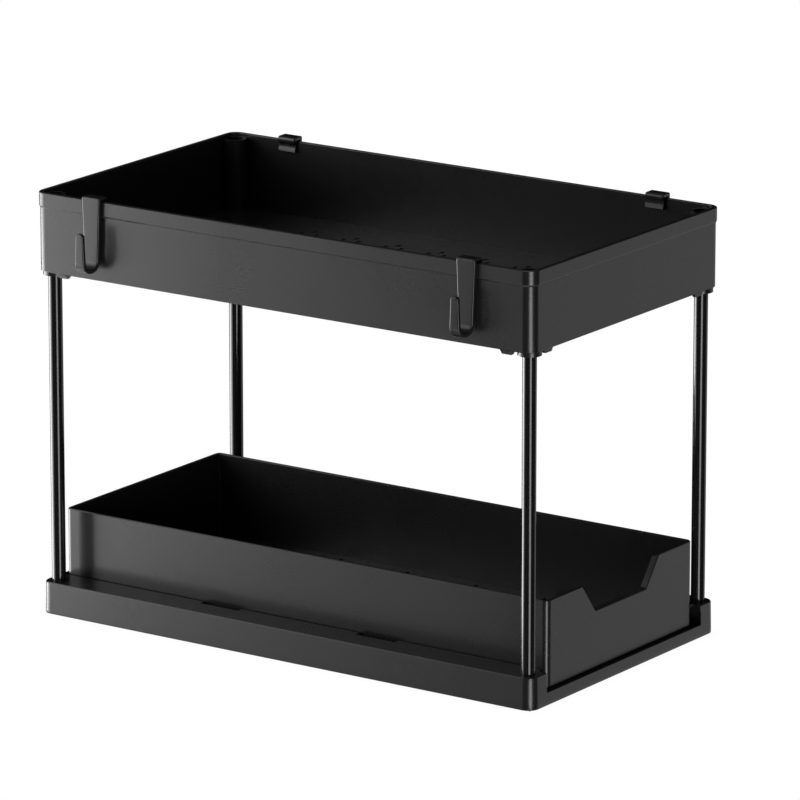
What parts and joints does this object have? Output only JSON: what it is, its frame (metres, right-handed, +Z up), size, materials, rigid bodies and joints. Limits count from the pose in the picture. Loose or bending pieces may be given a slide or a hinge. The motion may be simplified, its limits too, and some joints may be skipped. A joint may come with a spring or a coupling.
{
  "type": "under sink organizer",
  "caption": "Two-tier under sink organizer: a tray with clip-on hooks on tube legs above a base with a sliding drawer",
  "frame": {"origin": "on the floor, below the middle of the base", "axes": "+X across the width, +Y along the depth towards the back, +Z up; the drawer pulls out towards -Y"},
  "size_m": [0.2512, 0.3892, 0.2892],
  "materials": {
    "tray_plastic": "satin black",
    "hook_plastic": "satin black",
    "tube_steel": "gloss black",
    "foot_rubber": "matt black"
  },
  "bodies": {
    "frame": {"base_tray": "tray_plastic", "top_tray": "tray_plastic", "leg_front_left": "tube_steel", "leg_front_right": "tube_steel", "leg_back_left": "tube_steel", "leg_back_right": "tube_steel", "foot_pad_front_left": "foot_rubber", "foot_pad_front_right": "foot_rubber", "foot_pad_back_left": "foot_rubber", "foot_pad_back_right": "foot_rubber"},
    "drawer": {"drawer": "tray_plastic"},
    "hook_left_front": {"hook_left_front": "hook_plastic"},
    "hook_right_front": {"hook_right_front": "hook_plastic"},
    "hook_left_back": {"hook_left_back": "hook_plastic"},
    "hook_right_back": {"hook_right_back": "hook_plastic"}
  },
  "joints": [
    {"name": "drawer_slide", "type": "slide", "parent": "frame", "child": "drawer", "axis": [0, -1, 0], "range_m": [0, 0.2]},
    {"name": "hook_left_front_slide", "type": "slide", "parent": "frame", "child": "hook_left_front", "axis": [0, 1, 0], "range_m": [-0.024, 0.138]},
    {"name": "hook_right_front_slide", "type": "slide", "parent": "frame", "child": "hook_right_front", "axis": [0, 1, 0], "range_m": [-0.024, 0.138]},
    {"name": "hook_left_back_slide", "type": "slide", "parent": "frame", "child": "hook_left_back", "axis": [0, 1, 0], "range_m": [-0.138, 0.024]},
    {"name": "hook_right_back_slide", "type": "slide", "parent": "frame", "child": "hook_right_back", "axis": [0, 1, 0], "range_m": [-0.138, 0.024]}
  ]
}
